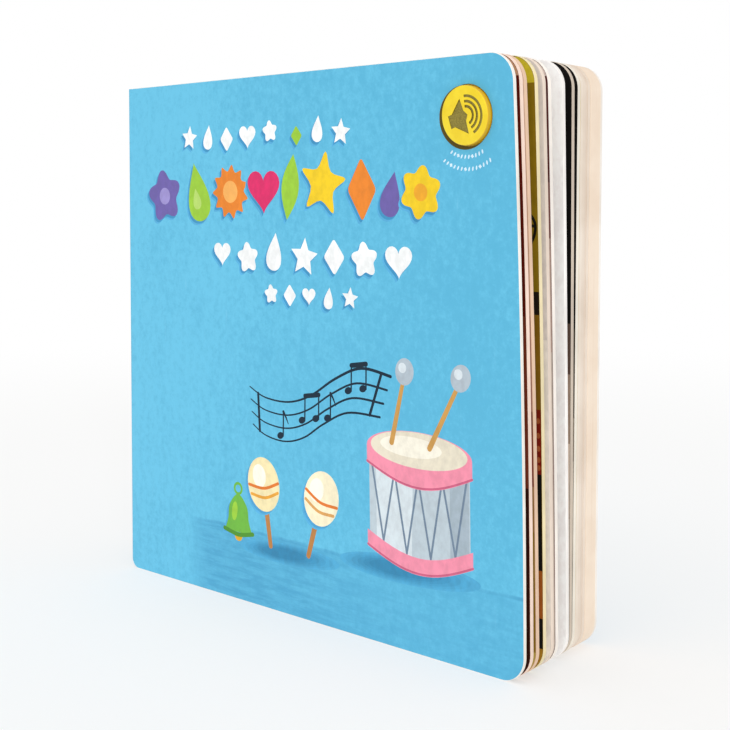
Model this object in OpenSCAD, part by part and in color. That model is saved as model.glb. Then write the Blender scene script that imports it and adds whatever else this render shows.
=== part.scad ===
// Board book with a sound unit in its thick back section and a push button on the front cover.
// The book stands upright: X runs from spine to fore edge, the front cover faces -Y, Z is up.

/* [Book] */
// Width of the closed book, from spine to fore edge
book_w = 190; // [170:1:220]
// Height of the book
book_h = 190; // [170:1:230]
// Radius of the rounded corners at the fore edge
corner_r = 8.5; // [5:0.5:16]
// Radius of the front cover's worn corner at the foot of the spine
spine_corner_r = 3.5; // [2:0.5:5]
// Thickness of the two cover boards
cover_t = 1.4; // [1.3:0.1:2]
// Thickness of the spine board
spine_t = 1.5; // [1:0.1:2]

/* [Opening] */
// Angle at which the front cover stands open at its foot
cover_foot_angle = 4.7; // [3:0.1:8]
// Angle at which the front cover stands open at its head
cover_head_angle = 7.2; // [3:0.1:12]
// How much less the front cover stands open half way up than a straight board would
cover_bow_angle = 0.4; // [0:0.1:0.6]

/* [Pages] */
// Thickness of one leaf
leaf_t = 1.7; // [1.2:0.1:2.2]
// How far the leaves are glued together at the spine
gutter_w = 4; // [2:0.5:8]

/* [Back section] */
// Thickness of the printed liner that closes the front of the section
liner_t = 1.6; // [1:0.1:2.4]
// Thickness of each window board around the sound unit
ply_t = 1.6; // [1.4:0.1:2]
// How far each window board stands back from its neighbour at the fore edge
ply_step = 0.15; // [0:0.05:0.4]

/* [Sound button] */
// Diameter of the button
button_d = 18; // [16:0.2:22]
// How far the rim of the button stands out of the cover
button_rise = 1.8; // [0.6:0.1:2.4]
// How much higher the crown of the button is than its rim
button_crown = 0.4; // [0.2:0.1:0.8]
// How far the button travels
button_travel = 0.3; // [0.2:0.05:0.35]
// Distance from the fore edge to the middle of the button
button_from_edge = 17.5; // [16:0.5:40]
// Distance from the head of the book to the middle of the button
button_from_head = 18; // [16:1:40]
// Depth of the engraved sign on the button
sign_depth = 0.2; // [0.1:0.05:0.3]
// Tilt of the sign on the button
sign_tilt = 17; // [-45:1:45]
// Diameter of the snap dome under the button
dome_d = 8; // [5:0.5:9]
// Width of the flat circuit film
film_w = 8; // [5:0.5:10]
// Thickness of the flat circuit film
film_t = 0.15; // [0.1:0.01:0.18]

/* [Sound unit] */
// Distance from the spine to the middle of the unit
unit_from_spine = 104; // [80:1:115]
// Height of the middle of the unit above the foot
unit_from_foot = 50; // [45:1:70]
// Wall of the plastic case
wall_t = 1.3; // [1:0.1:1.6]
// Thickness of the plastic lid
lid_t = 1.8; // [1.8:0.1:2.4]
// How far the case flange reaches under the second window board
flange_w = 2.5; // [1.5:0.5:4]
// How far the lid lies below the face of the back cover
lid_recess = 0.3; // [0.2:0.1:0.8]

/* [Speaker] */
// Diameter of the speaker
speaker_d = 30; // [28:1:34]
// Depth of the speaker from rim to magnet
speaker_depth = 9; // [8.5:0.1:10]
// Diameter of the speaker magnet
magnet_d = 14; // [10:0.5:18]
// Diameter of one sound hole in the lid
sound_hole_d = 2; // [1:0.1:2.4]

/* [Batteries] */
// Diameter of a button cell
cell_d = 11.6; // [9.5:0.1:11.6]
// Thickness of a button cell
cell_t = 5.4; // [3.6:0.1:5.4]
// Thickness of the battery door at its edge
door_t = 1.2; // [1:0.1:1.4]
// Thickness of the spring contacts
contact_t = 0.3; // [0.2:0.05:0.4]

/* [Switch] */
// Length of the slide switch
switch_w = 11; // [9:0.5:12]
// Height of the slide switch
switch_h = 6; // [5:0.5:8]
// Depth of the slide switch
switch_depth = 3.5; // [3:0.1:4]
// Length of the switch knob
knob_w = 3.6; // [2.5:0.1:4]
// How far the switch knob slides
switch_travel = 2.5; // [1.5:0.1:3]

/* [Screws] */
// Diameter of the screws
screw_d = 2; // [1.6:0.1:2.2]
// Diameter of the screw heads
head_d = 3.8; // [3:0.1:4]
// Thickness of the screw heads
head_t = 0.8; // [0.7:0.1:0.9]
// Length of the screws below their heads
screw_len = 7; // [5:0.5:8]

/* [Clearances] */
// Gap between boards that move apart
board_gap = 0.2; // [0.15:0.05:0.3]
// Gap around the pieces that fit in a window or pocket
fit_gap = 0.3; // [0.2:0.05:0.4]
// Gap between a sliding or turning piece and what guides it
running_gap = 0.08; // [0.05:0.01:0.1]

/* [Hidden] */

$fn = 48;
eps = 0.5;

// Share of the cover's opening that each leaf takes, at the foot and at the head
leaf_foot_share = [0.87, 0.76, 0.61, 0.42, 0.35, 0.02, 0.01, 0];
leaf_head_share = [0.94, 0.92, 0.74, 0.63, 0.57, 0.29, 0.1, 0.003];
leaf_count = len(leaf_foot_share);
corner_steps = 7;
middle_steps = 10;
patch_steps = 4;

// Depths along Y, measured from the outer face of the closed front cover
block_y0 = cover_t + board_gap;
block_y1 = block_y0 + leaf_count * leaf_t;
liner_y0 = block_y1 + board_gap;
liner_y1 = liner_y0 + liner_t;
window_count = 3;
core_y0 = liner_y1 + window_count * ply_t;
unit_y0 = liner_y1 + board_gap;
floor_t = ply_t - 2 * board_gap;
floor_y = unit_y0 + floor_t;
parting_y = floor_y + speaker_depth + 0.5;
lid_y = parting_y + lid_t;
book_t = lid_y + lid_recess;
core_y1 = book_t - cover_t;
section_x0 = spine_t + board_gap;

// The frame's origin is under the core board, half way along the book
origin_x = book_w / 2;
origin_y = (core_y0 + core_y1) / 2;

// Button, in the slightly twisted plane of the front cover
button_u = book_w - button_from_edge;
button_z = book_h - button_from_head;
twist_per_mm = (cover_head_angle - cover_foot_angle
    - 4 * cover_bow_angle * (1 - 2 * button_z / book_h)) / book_h;
button_angle = board_angle(button_z, cover_foot_angle, cover_head_angle);
button_lean = atan(button_u * twist_per_mm * PI / 180);
film_floor = cover_t - film_t - 0.1;
ledge_t = 0.45;
flange_d = button_d + 2;
flange_v0 = ledge_t + 0.05;
flange_t = film_floor - button_travel - 0.05 - flange_v0;
dome_h = 0.45;
dome_room_v = film_floor - dome_h - button_travel - 0.02;
pad_d = flange_d + 2;
film_z = button_z;

// Sound unit, measured from its middle
rib_t = 0.8;
bay_w = 3 * cell_d + 4 * 0.5;
bay_h = cell_d + 2 * 0.4;
board_w = 30;
inner_w = speaker_d + board_w + 3;
inner_h = bay_h + rib_t + speaker_d + 2;
unit_w = inner_w + 2 * wall_t;
unit_h = inner_h + 2 * wall_t;
bay_x0 = -inner_w / 2;
bay_z0 = -inner_h / 2;
bay_z = bay_z0 + bay_h / 2;
bay_top = bay_z0 + bay_h + rib_t;
bay_x1 = bay_x0 + bay_w;
speaker_x = -inner_w / 2 + speaker_d / 2 + 0.5;
speaker_z = inner_h / 2 - speaker_d / 2 - 0.5;
shelf_y = parting_y - cell_t - contact_t - board_gap;
shelf_t = 1.2;
boss_r = screw_d / 2 + 1.6;
boss_x = inner_w / 2 - boss_r + 0.4;
boss_z = inner_h / 2 - boss_r + 0.4;
boss_spots = [[-boss_x, boss_z], [boss_x, -boss_z]];
door_screw_x = bay_x1 + rib_t + boss_r;
door_x0 = bay_x0 - 0.5;
door_x1 = door_screw_x + head_d / 2 + 1.4;
door_z0 = bay_z0 - 0.5;
door_z1 = bay_top + 0.3;
door_ledge = 0.8;
head_y = book_t - 0.1;
door_y = lid_y - door_t;
cell_y0 = shelf_y + contact_t;
cell_y1 = cell_y0 + cell_t;
cell_pitch = cell_d + 0.5;
first_cell_x = bay_x0 + 0.5 + cell_d / 2;
pcb_t = 0.8;
pcb_y0 = floor_y + 2.6;
pcb_x0 = speaker_x + speaker_d / 2 + 1;
pcb_x1 = inner_w / 2 - 0.5;
pcb_z0 = bay_top + 1;
pcb_z1 = inner_h / 2 - 0.5;
film_x = (pcb_x0 + pcb_x1) / 2;
switch_x = door_x1 + 1 + switch_w / 2;
switch_z = bay_z;
knob_h = 2.4;
knob_depth = 1.6;
wire_d = 0.9;
magnet_t = 3.4;
contact_half = 3;

function lerp(a, b, t) = a + (b - a) * t;

// Opening of a board at height z, bowed in proportion to how far its head is open
function board_angle(z, foot, head) =
    let (t = z / book_h)
    lerp(foot, head, t) - 4 * t * (1 - t) * cover_bow_angle * head / cover_head_angle;

// Point of a board hinged on the Z axis: u along it, v into it, z up it
function on_board(u, v, z, foot, head) =
    let (a = board_angle(z, foot, head))
    [u * cos(a) + v * sin(a), v * cos(a) - u * sin(a), z];

// How far a rounded corner of radius r cuts into the board at height z
function corner_cut(r, z) = z < r ? r - sqrt(r * r - (r - z) * (r - z)) : 0;

// Heights and reaches that follow the rounded fore corners of a board of width w
function board_levels(w) = concat(
    [for (i = [0 : corner_steps])
        let (t = 90 * i / corner_steps)
        [corner_r * (1 - cos(t)), w - corner_r * (1 - sin(t))]],
    [for (i = [1 : middle_steps - 1])
        [lerp(corner_r, book_h - corner_r, i / middle_steps), w]],
    [for (i = [corner_steps : -1 : 0])
        let (t = 90 * i / corner_steps)
        [book_h - corner_r * (1 - cos(t)), w - corner_r * (1 - sin(t))]]);

// Solid through stacked rectangles, one ring of four points a level
module ring_solid(rings) {
    top = 4 * (len(rings) - 1);
    polyhedron(
        points = [for (ring = rings) for (p = ring) p],
        faces = concat(
            [[0, 1, 2], [0, 2, 3], [top + 3, top + 2, top + 1], [top + 3, top + 1, top]],
            [for (i = [0 : len(rings) - 2]) for (j = [0 : 3])
                [4 * i + j, 4 * (i + 1) + j, 4 * (i + 1) + (j + 1) % 4]],
            [for (i = [0 : len(rings) - 2]) for (j = [0 : 3])
                [4 * i + j, 4 * (i + 1) + (j + 1) % 4, 4 * i + (j + 1) % 4]]));
}

// Board that opens more at its head than at its foot, with rounded fore corners
module fanned_board(u0, w, v0, v1, foot, head, spine_r = 0) {
    ring_solid([for (level = board_levels(w))
        let (start = u0 + corner_cut(spine_r, level[0])) [
            on_board(start, v0, level[0], foot, head),
            on_board(level[1], v0, level[0], foot, head),
            on_board(level[1], v1, level[0], foot, head),
            on_board(start, v1, level[0], foot, head)]]);
}

// Rectangular patch of the front cover, from depth v0 to v1, that follows its twist
module cover_patch(u0, u1, v0, v1, z0, z1) {
    ring_solid([for (i = [0 : patch_steps]) let (z = lerp(z0, z1, i / patch_steps)) [
        on_board(u0, v0, z, cover_foot_angle, cover_head_angle),
        on_board(u1, v0, z, cover_foot_angle, cover_head_angle),
        on_board(u1, v1, z, cover_foot_angle, cover_head_angle),
        on_board(u0, v1, z, cover_foot_angle, cover_head_angle)]]);
}

module in_frame() {
    translate([-origin_x, -origin_y, 0]) children();
}

module at_unit() {
    in_frame() translate([unit_from_spine, 0, unit_from_foot]) children();
}

// Middle of the button on the cover's outer face, with +Y into the book
module at_button() {
    in_frame()
        translate(on_board(button_u, 0, button_z, cover_foot_angle, cover_head_angle))
        rotate([0, 0, -button_angle])
        rotate([button_lean, 0, 0])
        children();
}

// Box between two corners
module box(x0, x1, y0, y1, z0, z1) {
    translate([x0, y0, z0]) cube([x1 - x0, y1 - y0, z1 - z0]);
}

// Round bar along Y at x, z
module rod(d, x, z, y0, y1) {
    translate([x, y0, z]) rotate([-90, 0, 0]) cylinder(d = d, h = y1 - y0);
}

// Extrudes a shape drawn in X and Z from y0 to y1
module along_y(y0, y1) {
    translate([0, y1, 0]) rotate([90, 0, 0]) linear_extrude(y1 - y0) children();
}

// Flat board with rounded fore corners
module panel(x0, x1, y0, y1) {
    along_y(y0, y1) {
        translate([x0, 0]) square([x1 - corner_r - x0, book_h]);
        translate([x0, corner_r]) square([x1 - x0, book_h - 2 * corner_r]);
        for (z = [corner_r, book_h - corner_r]) {
            translate([x1 - corner_r, z]) circle(r = corner_r);
        }
    }
}

module unit_window(y0, y1, grow) {
    translate([unit_from_spine, 0, unit_from_foot])
        box(-unit_w / 2 - grow, unit_w / 2 + grow, y0, y1, -unit_h / 2 - grow, unit_h / 2 + grow);
}

// Straight wire from a to b
module wire(a, b) {
    run = b - a;
    flat = norm([run[0], run[1]]);
    translate(a) rotate([0, atan2(flat, run[2]), atan2(run[1], run[0])])
        cylinder(d = wire_d, h = norm(run));
}

module wire_path(points) {
    for (i = [0 : len(points) - 2]) {
        wire(points[i], points[i + 1]);
    }
    for (i = [1 : len(points) - 2]) {
        translate(points[i]) sphere(d = wire_d + 0.1);
    }
}

// Book block and covers

module page_block() {
    color("ivory") in_frame() translate([spine_t, block_y0, 0]) union() {
        for (i = [0 : leaf_count - 1]) {
            translate([0, i * leaf_t, 0])
                fanned_board(0.4, book_w - spine_t, 0, leaf_t,
                    cover_foot_angle * leaf_foot_share[i], cover_head_angle * leaf_head_share[i]);
        }
        box(0, gutter_w, 0.1, leaf_count * leaf_t - 0.1, 0, book_h);
    }
}

module spine_board() {
    color("skyblue") in_frame() difference() {
        box(0, spine_t, block_y0, core_y1 - board_gap, 0, book_h);
        box(spine_t - film_t - 0.1, spine_t + eps, block_y0 - eps, liner_y1 + ply_t,
            film_z - film_w / 2 - 0.2, film_z + film_w / 2 + 0.2);
    }
}

module front_cover() {
    color("skyblue") difference() {
        in_frame() fanned_board(0, book_w, 0, cover_t, cover_foot_angle, cover_head_angle,
            spine_corner_r);
        in_frame() cover_patch(-eps, button_u, film_floor, cover_t + eps,
            film_z - film_w / 2 - 0.2, film_z + film_w / 2 + 0.2);
        at_button() rod(button_d + 2 * fit_gap, 0, 0, -1, cover_t);
        at_button() rod(flange_d + 2 * fit_gap, 0, 0, ledge_t, cover_t);
        at_button() rod(pad_d + 0.4, 0, 0, film_floor, cover_t + eps);
    }
}

// Pages of the section that holds the sound unit

module liner_board() {
    color("linen") in_frame() panel(section_x0, book_w, liner_y0, liner_y1);
}

module window_board(i) {
    y0 = liner_y1 + i * ply_t;
    inset = ply_step * (1 + i % 2);
    difference() {
        in_frame() panel(section_x0, book_w - inset, y0, y0 + ply_t);
        in_frame() unit_window(y0 - eps, y0 + ply_t + eps,
            i == 0 ? flange_w + fit_gap : fit_gap);
        if (i == 0) {
            film_channel(y0 + ply_t - board_gap, y0 + ply_t + eps, 0.2);
        }
    }
}

module window_board_1() {
    color("antiquewhite") window_board(0);
}

module window_board_2() {
    color("antiquewhite") window_board(1);
}

module window_board_3() {
    color("antiquewhite") window_board(2);
}

module core_board() {
    color("bisque") in_frame() difference() {
        panel(section_x0, book_w, core_y0, core_y1);
        unit_window(core_y0 - eps, core_y1 + eps, fit_gap);
    }
}

module back_cover() {
    color("skyblue") in_frame() difference() {
        panel(0, book_w, core_y1, book_t);
        unit_window(core_y1 - eps, book_t + eps, fit_gap);
    }
}

// Button on the front cover and its flat circuit film

module sign() {
    line_w = 0.8;
    scale(button_d / 18) translate([0.9, 0]) rotate(sign_tilt) {
        translate([-6.8, -2]) square([2.3, 4]);
        polygon([[-5, -2.1], [-0.8, -5.5], [-0.4, -1.6], [0.7, 0], [-0.4, 1.6], [-0.8, 5.5],
            [-5, 2.1]]);
        for (r = [2.7, 4.2, 5.8]) {
            intersection() {
                difference() {
                    circle(r = r + line_w / 2);
                    circle(r = r - line_w / 2);
                }
                polygon([[0, 0], [1.8, -10], [10, -10], [10, 10], [1.8, 10]]);
            }
        }
    }
}

module button_cap() {
    edge = 0.4;
    r = button_d / 2;
    face_r = r - edge;
    crown_r = (face_r * face_r + button_crown * button_crown) / (2 * button_crown);
    face_steps = 8;
    color("gold") at_button() difference() {
        rotate([-90, 0, 0]) rotate_extrude() polygon(concat(
            [[0, flange_v0 + flange_t], [flange_d / 2, flange_v0 + flange_t],
                [flange_d / 2, flange_v0], [r, flange_v0]],
            [for (i = [0 : 4]) [face_r + edge * cos(22.5 * i),
                edge - button_rise - edge * sin(22.5 * i)]],
            [for (i = [face_steps - 1 : -1 : 0])
                let (x = face_r * i / face_steps)
                [x, -button_rise - button_crown + crown_r - sqrt(crown_r * crown_r - x * x)]]));
        along_y(-button_rise - button_crown - eps, -button_rise - button_crown + sign_depth + 0.15)
            sign();
        rod(dome_d + 1, 0, 0, dome_room_v, flange_v0 + flange_t + eps);
    }
}

module snap_dome() {
    color("silver") at_button() translate([0, film_floor, 0]) rotate([90, 0, 0]) union() {
        cylinder(d = dome_d, h = 0.15);
        translate([0, 0, 0.15]) cylinder(d1 = dome_d - 0.6, d2 = dome_d * 0.4, h = dome_h - 0.15);
    }
}

module cover_film() {
    color("peru") union() {
        in_frame() cover_patch(0.3, button_u, film_floor + 0.02, film_floor + 0.02 + film_t,
            film_z - film_w / 2, film_z + film_w / 2);
        at_button() rod(pad_d, 0, 0, film_floor + 0.02, film_floor + 0.02 + film_t);
    }
}

module spine_film() {
    color("peru") in_frame()
        box(spine_t - film_t - 0.05, spine_t - 0.05, block_y0, liner_y1 + ply_t - 0.3,
            film_z - film_w / 2, film_z + film_w / 2);
}

// Run of the film from the spine to the sound unit, as a channel or as the film itself
module film_channel(y0, y1, grow) {
    half = film_w / 2 + grow;
    in_frame() {
        box(section_x0 - (grow > 0 ? eps : 0), unit_from_spine + film_x + half, y0, y1,
            film_z - half, film_z + half);
        box(unit_from_spine + film_x - half, unit_from_spine + film_x + half, y0, y1,
            unit_from_foot + unit_h / 2 - 0.5, film_z + half);
    }
}

module unit_film() {
    y0 = floor_y + 0.02;
    color("peru") union() {
        film_channel(y0, y0 + film_t, 0);
        at_unit() box(film_x - film_w / 2, film_x + film_w / 2, y0, y0 + film_t,
            pcb_z1 - 5, unit_h / 2);
    }
}

// Plastic case of the sound unit

module unit_case() {
    color("whitesmoke") at_unit() difference() {
        union() {
            difference() {
                union() {
                    box(-unit_w / 2, unit_w / 2, unit_y0, parting_y, -unit_h / 2, unit_h / 2);
                    box(-unit_w / 2 - flange_w, unit_w / 2 + flange_w, unit_y0, floor_y,
                        -unit_h / 2 - flange_w, unit_h / 2 + flange_w);
                }
                box(-inner_w / 2, inner_w / 2, floor_y, parting_y + eps, -inner_h / 2, inner_h / 2);
            }
            for (spot = boss_spots) {
                rod(2 * boss_r, spot[0], spot[1], floor_y - 0.2, parting_y);
            }
            rod(2 * boss_r, door_screw_x, bay_z, floor_y - 0.2, door_y - 0.3);
            for (x = [pcb_x0 + 2.5, pcb_x1 - 2.5]) {
                rod(3, x, pcb_z0 + 2.5, floor_y - 0.2, pcb_y0);
            }
            box(bay_x0 - 0.2, bay_x1 + rib_t, shelf_y - shelf_t, shelf_y, bay_z0 - 0.2, bay_top);
            box(bay_x0 - 0.2, bay_x1 + rib_t, floor_y - 0.2, parting_y - 0.3,
                bay_top - rib_t, bay_top);
            box(bay_x1, bay_x1 + rib_t, floor_y - 0.2, parting_y - 0.3, bay_z0 - 0.2, bay_top);
        }
        for (spot = boss_spots) {
            rod(screw_d + 2 * running_gap, spot[0], spot[1], floor_y, parting_y + eps);
        }
        rod(screw_d + 2 * running_gap, door_screw_x, bay_z, floor_y, parting_y + lid_t);
        box(film_x - film_w / 2 - 0.3, film_x + film_w / 2 + 0.3, floor_y, floor_y + 0.5,
            inner_h / 2 - 0.5, unit_h / 2 + eps);
        box(bay_x1 - 4, bay_x1 - 1.5, shelf_y, shelf_y + 2, bay_top - rib_t - eps, bay_top + eps);
        box(bay_x0 + 2, bay_x0 + 4.5, shelf_y, shelf_y + 2, bay_top - rib_t - eps, bay_top + eps);
    }
}

module unit_lid() {
    color("whitesmoke") at_unit() difference() {
        box(-unit_w / 2, unit_w / 2, parting_y, lid_y, -unit_h / 2, unit_h / 2);
        rod(sound_hole_d, speaker_x, speaker_z, parting_y - eps, lid_y + eps);
        for (ring = [1 : 3]) {
            for (i = [0 : 6 * ring - 1]) {
                rod(sound_hole_d, speaker_x + 3.8 * ring * cos(60 * i / ring),
                    speaker_z + 3.8 * ring * sin(60 * i / ring), parting_y - eps, lid_y + eps);
            }
        }
        box(door_x0, door_x1, door_y - 0.05, lid_y + eps, door_z0, door_z1);
        box(door_x0 + door_ledge, bay_x1 - 0.4, parting_y - eps, lid_y, door_z0 + door_ledge,
            door_z1 - door_ledge);
        rod(2 * boss_r + 2 * fit_gap, door_screw_x, bay_z, parting_y - eps, lid_y);
        box(switch_x - (knob_w + switch_travel) / 2 - 0.3, switch_x + (knob_w + switch_travel) / 2 + 0.3,
            parting_y - eps, lid_y + eps, switch_z - knob_h / 2 - 0.3, switch_z + knob_h / 2 + 0.3);
        for (spot = boss_spots) {
            rod(screw_d + 2 * running_gap, spot[0], spot[1], parting_y - eps, lid_y);
            rod(head_d + 0.4, spot[0], spot[1], lid_y - head_t - 0.1, lid_y + eps);
        }
    }
}

module battery_door() {
    color("whitesmoke") at_unit() difference() {
        union() {
            box(door_x0 + fit_gap, door_x1 - fit_gap, door_y, lid_y, door_z0 + fit_gap,
                door_z1 - fit_gap);
            box(door_x0 + door_ledge + fit_gap, bay_x1 - 0.4 - fit_gap, cell_y1 + 0.05 + contact_t,
                door_y + 0.2, door_z0 + door_ledge + fit_gap, door_z1 - door_ledge - fit_gap);
        }
        rod(screw_d + 2 * running_gap, door_screw_x, bay_z, parting_y, lid_y + eps);
        rod(head_d + 2 * running_gap, door_screw_x, bay_z, head_y - head_t - 0.02, lid_y + eps);
        for (i = [0 : 4]) {
            box(door_x0 + 3 + i * 1.6, door_x0 + 3.8 + i * 1.6, lid_y - 0.25, lid_y + eps,
                bay_z - 3, bay_z + 3);
        }
    }
}

// Screw along Y with a crossed slot in its head, at x, z, with the top of its head at y
module screw(x, z, y, length) {
    translate([x, y, z]) difference() {
        union() {
            rod(head_d, 0, 0, -head_t, 0);
            rod(screw_d, 0, 0, -head_t - length, 0.1 - head_t);
        }
        box(-head_d * 0.35, head_d * 0.35, -0.4, eps, -0.25, 0.25);
        box(-0.25, 0.25, -0.4, eps, -head_d * 0.35, head_d * 0.35);
    }
}

module battery_screw() {
    color("silver") at_unit()
        screw(door_screw_x, bay_z, head_y, screw_len);
}

module case_screws() {
    color("silver") at_unit() for (spot = boss_spots) {
        screw(spot[0], spot[1], lid_y - 0.08, screw_len);
    }
}

// Batteries and their contacts

module battery_cell(i) {
    x = first_cell_x + i * cell_pitch;
    color("silver") at_unit() union() {
        rod(cell_d, x, bay_z, i % 2 == 0 ? cell_y0 : cell_y0 + 0.4,
            i % 2 == 0 ? cell_y1 - 0.4 : cell_y1);
        rod(cell_d - 2, x, bay_z, cell_y0, cell_y1);
    }
}

module battery_cell_1() {
    battery_cell(0);
}

module battery_cell_2() {
    battery_cell(1);
}

module battery_cell_3() {
    battery_cell(2);
}

module bay_contacts() {
    color("goldenrod") at_unit() {
        box(first_cell_x - contact_half, first_cell_x + contact_half, shelf_y, cell_y0,
            bay_z - contact_half, bay_z + bay_h / 2);
        box(first_cell_x + cell_pitch - contact_half, first_cell_x + 2 * cell_pitch + contact_half,
            shelf_y, cell_y0, bay_z - contact_half, bay_z + bay_h / 2);
    }
}

module door_contacts() {
    y0 = cell_y1 + 0.05;
    color("goldenrod") at_unit() {
        box(first_cell_x - contact_half, first_cell_x + cell_pitch + contact_half, y0,
            y0 + contact_t, bay_z - contact_half, bay_z + contact_half);
        box(first_cell_x + 2 * cell_pitch - contact_half,
            first_cell_x + 2 * cell_pitch + contact_half, y0, y0 + contact_t,
            bay_z - contact_half, bay_z + contact_half);
    }
}

// Speaker

module speaker_frame() {
    r = speaker_d / 2;
    depth = speaker_depth - magnet_t;
    color("dimgray") at_unit() translate([speaker_x, parting_y, speaker_z])
        rotate([90, 0, 0]) rotate_extrude() polygon([
            [r - 2.4, 0.1], [r, 0.1], [r, 1.3], [r - 1.6, 1.3], [magnet_d / 2 + 1.4, depth],
            [0.01, depth], [0.01, depth - 0.6], [magnet_d / 2 + 1, depth - 0.6], [r - 2.4, 0.9]]);
}

module speaker_cone() {
    r = speaker_d / 2 - 2.6;
    color("black") at_unit() translate([speaker_x, parting_y, speaker_z])
        rotate([90, 0, 0]) rotate_extrude() polygon([
            [0.01, 2.6], [2.4, 2.9], [3, 3.4], [r - 2.4, 0.9], [r - 1.4, 0.25], [r, 0.5],
            [r, 0.7], [r - 1.4, 0.45], [r - 2.2, 1.1], [3, 3.7], [2.2, 3.2], [0.01, 2.9]]);
}

module speaker_magnet() {
    color("gray") at_unit() rod(magnet_d, speaker_x, speaker_z,
        parting_y - speaker_depth, parting_y - speaker_depth + magnet_t);
}

// Electronics

module circuit_board() {
    color("darkgreen") at_unit() difference() {
        box(pcb_x0, pcb_x1, pcb_y0, pcb_y0 + pcb_t, pcb_z0, pcb_z1);
        for (x = [pcb_x0 + 2, pcb_x1 - 2]) {
            rod(1.2, x, pcb_z1 - 2, pcb_y0 - eps, pcb_y0 + pcb_t + eps);
        }
    }
}

module sound_chip() {
    color("black") at_unit() translate([(pcb_x0 + pcb_x1) / 2, pcb_y0 + pcb_t, pcb_z0 + 11])
        rotate([-90, 0, 0]) rotate_extrude() polygon(concat([[0, 0]],
            [for (i = [0 : 6]) [6 * cos(15 * i), 2 * sin(15 * i)]]));
}

module capacitor() {
    color("navy") at_unit()
        rod(5, pcb_x1 - 5, pcb_z1 - 9, pcb_y0 + pcb_t, pcb_y0 + pcb_t + 4.5);
}

module film_connector() {
    color("ivory") at_unit()
        box(film_x - film_w / 2 - 1, film_x + film_w / 2 + 1, floor_y + film_t + 0.02, pcb_y0,
            pcb_z1 - 5, pcb_z1 - 1);
}

module switch_body() {
    room = (knob_w + switch_travel) / 2 + 0.1;
    color("black") at_unit() difference() {
        box(switch_x - switch_w / 2, switch_x + switch_w / 2, parting_y - switch_depth, parting_y,
            switch_z - switch_h / 2, switch_z + switch_h / 2);
        box(switch_x - room, switch_x + room, parting_y - knob_depth - 0.1, parting_y + eps,
            switch_z - knob_h / 2 - 0.1, switch_z + knob_h / 2 + 0.1);
    }
}

module switch_knob() {
    x0 = switch_x - (knob_w + switch_travel) / 2;
    color("white") at_unit() difference() {
        box(x0, x0 + knob_w, parting_y - knob_depth, lid_y, switch_z - knob_h / 2,
            switch_z + knob_h / 2);
        for (i = [0 : 2]) {
            box(x0 + knob_w / 4 * (i + 1) - 0.2, x0 + knob_w / 4 * (i + 1) + 0.2, lid_y - 0.3,
                lid_y + eps, switch_z - knob_h / 2 - eps, switch_z + knob_h / 2 + eps);
        }
    }
}

module speaker_leads() {
    y = pcb_y0 + pcb_t + wire_d / 2 + 0.05;
    color("red") at_unit() for (i = [0, 1]) {
        z = speaker_z - 2 + 4 * i;
        wire([speaker_x + magnet_d / 2 + 2.9, y, z], [pcb_x0 + 2.5, y, z]);
    }
}

module battery_leads() {
    y = pcb_y0 + pcb_t + wire_d / 2 + 0.05;
    low_y = cell_y0 + wire_d / 2 + 0.05;
    color("black") at_unit() {
        for (lead = [[bay_x1 - 2.75, 3, y], [bay_x0 + 3.25, 5.5, low_y + wire_d + 0.3]]) {
            wire_path([
                [lead[0], low_y, bay_top - rib_t - 0.5],
                [lead[0], low_y, bay_top + 0.6],
                [lead[0], lead[2], bay_top + 0.6],
                [pcb_x0 + lead[1], lead[2], bay_top + 0.6],
                [pcb_x0 + lead[1], y, pcb_z0 + 2]]);
        }
    }
}

page_block();
spine_board();
front_cover();
button_cap();
snap_dome();
cover_film();
spine_film();
unit_film();
liner_board();
window_board_1();
window_board_2();
window_board_3();
core_board();
back_cover();
unit_case();
unit_lid();
battery_door();
battery_screw();
case_screws();
battery_cell_1();
battery_cell_2();
battery_cell_3();
bay_contacts();
door_contacts();
speaker_frame();
speaker_cone();
speaker_magnet();
circuit_board();
sound_chip();
capacitor();
film_connector();
switch_body();
switch_knob();
speaker_leads();
battery_leads();
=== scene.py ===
"""Looks of a board book with a sound unit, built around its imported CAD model."""

import math

import bpy
from mathutils import Matrix, Vector
from mathutils.geometry import delaunay_2d_cdt


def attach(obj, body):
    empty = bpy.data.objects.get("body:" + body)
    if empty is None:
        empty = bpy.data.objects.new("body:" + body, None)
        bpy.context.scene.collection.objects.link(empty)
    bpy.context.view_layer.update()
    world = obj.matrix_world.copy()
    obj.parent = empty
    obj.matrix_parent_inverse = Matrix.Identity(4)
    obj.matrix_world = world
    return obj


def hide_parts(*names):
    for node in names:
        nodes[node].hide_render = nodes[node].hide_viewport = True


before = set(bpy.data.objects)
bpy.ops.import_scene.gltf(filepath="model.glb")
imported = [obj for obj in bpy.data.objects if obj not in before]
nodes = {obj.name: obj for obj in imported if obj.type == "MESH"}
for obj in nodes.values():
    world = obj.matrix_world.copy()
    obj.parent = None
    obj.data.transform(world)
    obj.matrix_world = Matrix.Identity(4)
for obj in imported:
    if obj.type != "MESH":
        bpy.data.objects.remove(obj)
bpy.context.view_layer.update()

# Sizes of the book in millimetres, as in the CAD source
MM = 0.001
BOOK_W = 190
BOOK_H = 190
CORNER_R = 8.5
SPINE_CORNER_R = 3.5  # worn corner at the spine's foot
COVER_T = 1.4
LEAF_T = 1.7
BLOCK_Y = 1.6  # depth at which the leaves start
SPINE_T = 1.5
CREASE = 0.12  # fold between the spine and each cover
SECTION_X = 1.7  # distance of the back section's boards from the spine's outside
LINER = (15.4, 17.0)  # first and last depth of the liner board
BACK_COVER = (28.6, 30.0)
ORIGIN = (BOOK_W / 2, 25.2)  # place of the frame's origin, across and in depth
COVER_OPENING = (4.7, 7.2)  # degrees at the foot and at the head
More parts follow.
